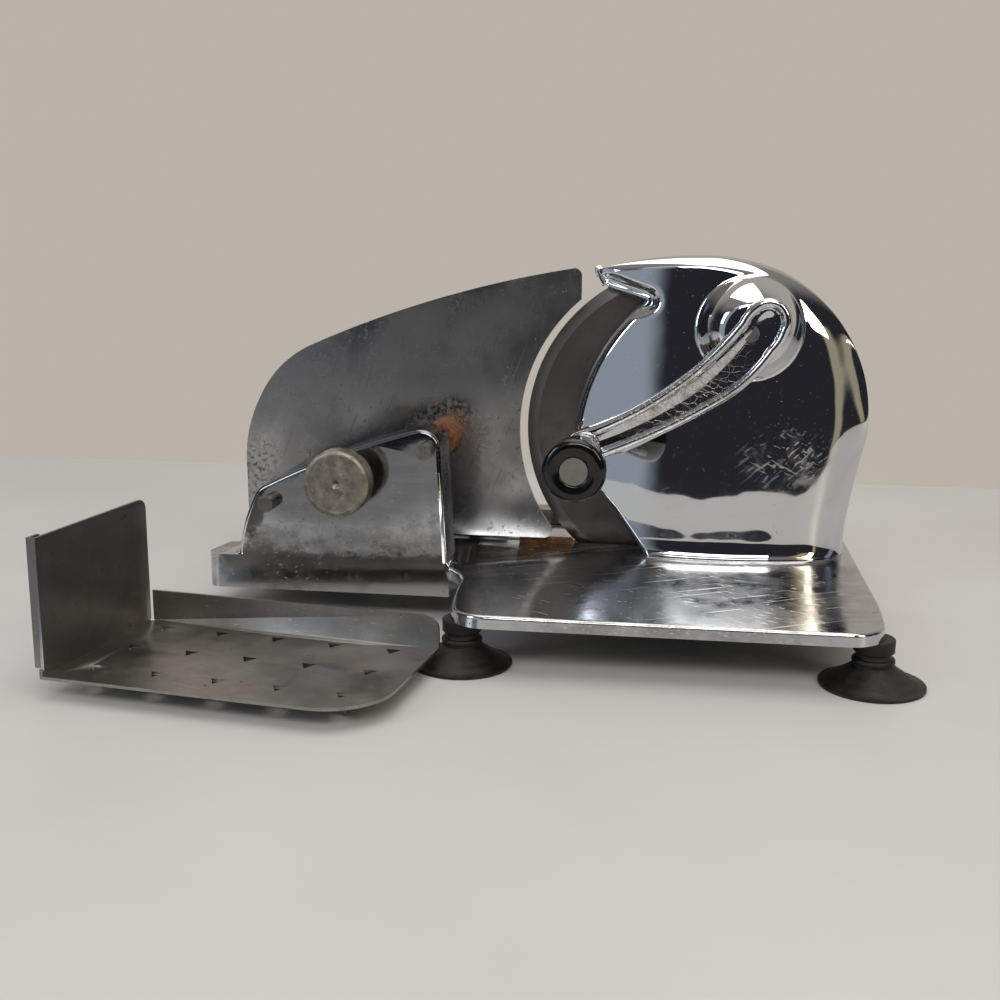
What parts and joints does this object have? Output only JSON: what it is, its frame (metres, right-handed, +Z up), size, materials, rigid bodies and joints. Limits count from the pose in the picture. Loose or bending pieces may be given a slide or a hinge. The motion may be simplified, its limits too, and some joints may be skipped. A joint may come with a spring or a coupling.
{
  "type": "hand crank meat slicer",
  "caption": "Hand-cranked kitchen slicer: round blade in a chromed housing, geared crank, adjustable plate, sliding food carriage, suction cup feet and a loose food pusher.",
  "frame": {"origin": "middle of the footprint at table level", "axes": "+Z up, +Y from the user's side (crank and knob) to the food side, +X to the right, seen from the crank's side"},
  "size_m": [0.3614, 0.3026, 0.1762],
  "materials": {
    "chrome_casting": "bright chrome plate with worn, pitted spots",
    "housing_chrome": "bright chrome plate with fine scratches",
    "blade_steel": "dark ground steel with circular grinding lines",
    "gear_steel": "plain cut steel",
    "turned_steel": "turned steel",
    "rusty_steel": "steel gone brown with rust",
    "plate_aluminium": "dull grey sheet with brown stains",
    "pusher_aluminium": "dull grey sheet",
    "knob_aluminium": "knurled, turned face",
    "bush_brass": "plain turned brass",
    "grip_black": "glossy black",
    "cup_rubber": "dull black rubber"
  },
  "bodies": {
    "base": {"base_casting": "chrome_casting", "blade_housing": "housing_chrome", "blade_spindle": "turned_steel", "blade_screw": "turned_steel", "crank_bush": "bush_brass", "guide_strip": "rusty_steel", "carriage_rail": "turned_steel", "deck_screws": "turned_steel", "cup_front_left": "cup_rubber", "cup_front_right": "cup_rubber", "cup_rear_left": "cup_rubber", "cup_rear_right": "cup_rubber", "cup_studs": "turned_steel", "gauge_spring": "turned_steel"},
    "blade_set": {"blade": "blade_steel", "blade_hub": "turned_steel", "hub_rivets": "turned_steel", "blade_gear": "gear_steel"},
    "crank": {"crank_shaft": "turned_steel", "crank_gear": "gear_steel", "crank_arm": "housing_chrome", "grip_stud": "turned_steel"},
    "grip": {"crank_grip": "grip_black"},
    "knob": {"thumb_knob": "knob_aluminium"},
    "gauge": {"gauge_plate": "plate_aluminium", "guide_pin_left": "turned_steel", "guide_pin_right": "turned_steel", "pin_collar_left": "turned_steel", "pin_collar_right": "rusty_steel", "adjusting_stud": "turned_steel", "stud_collar": "turned_steel"},
    "carriage": {"food_carriage": "plate_aluminium", "carriage_runner": "turned_steel", "carriage_rivets": "turned_steel"},
    "pusher": {"food_pusher": "pusher_aluminium"}
  },
  "joints": [
    {"name": "blade_spin", "type": "hinge", "parent": "base", "child": "blade_set", "pos_m": [0.0805, 0.0531, 0.088], "axis": [0, -1, 0], "continuous": true},
    {"name": "crank_turn", "type": "hinge", "parent": "base", "child": "crank", "pos_m": [0.10661, 0.0341, 0.14036], "axis": [0, -1, 0], "continuous": true},
    {"name": "grip_spin", "type": "hinge", "parent": "crank", "child": "grip", "pos_m": [0.02916, -0.0169, 0.0843], "axis": [0, -1, 0], "continuous": true},
    {"name": "knob_turn", "type": "hinge", "parent": "base", "child": "knob", "pos_m": [-0.08355, -0.0169, 0.07075], "axis": [0, -1, 0], "range_deg": [-1440, 1440]},
    {"name": "plate_slide", "type": "slide", "parent": "base", "child": "gauge", "axis": [0, -1, 0], "range_m": [-0.008, 0.008], "deforming": ["gauge_spring"]},
    {"name": "carriage_slide", "type": "slide", "parent": "base", "child": "carriage", "axis": [1, 0, 0], "range_m": [0, 0.115]},
    {"name": "pusher_lift", "type": "slide", "parent": "base", "child": "pusher", "axis": [0, 0, 1], "range_m": [0, 0.12]}
  ],
  "couplings": [
    {"joint": "crank_turn", "follows": "blade_spin", "ratio": -1.2286},
    {"joint": "knob_turn", "follows": "plate_slide", "rad_per_m": -3141.6}
  ]
}
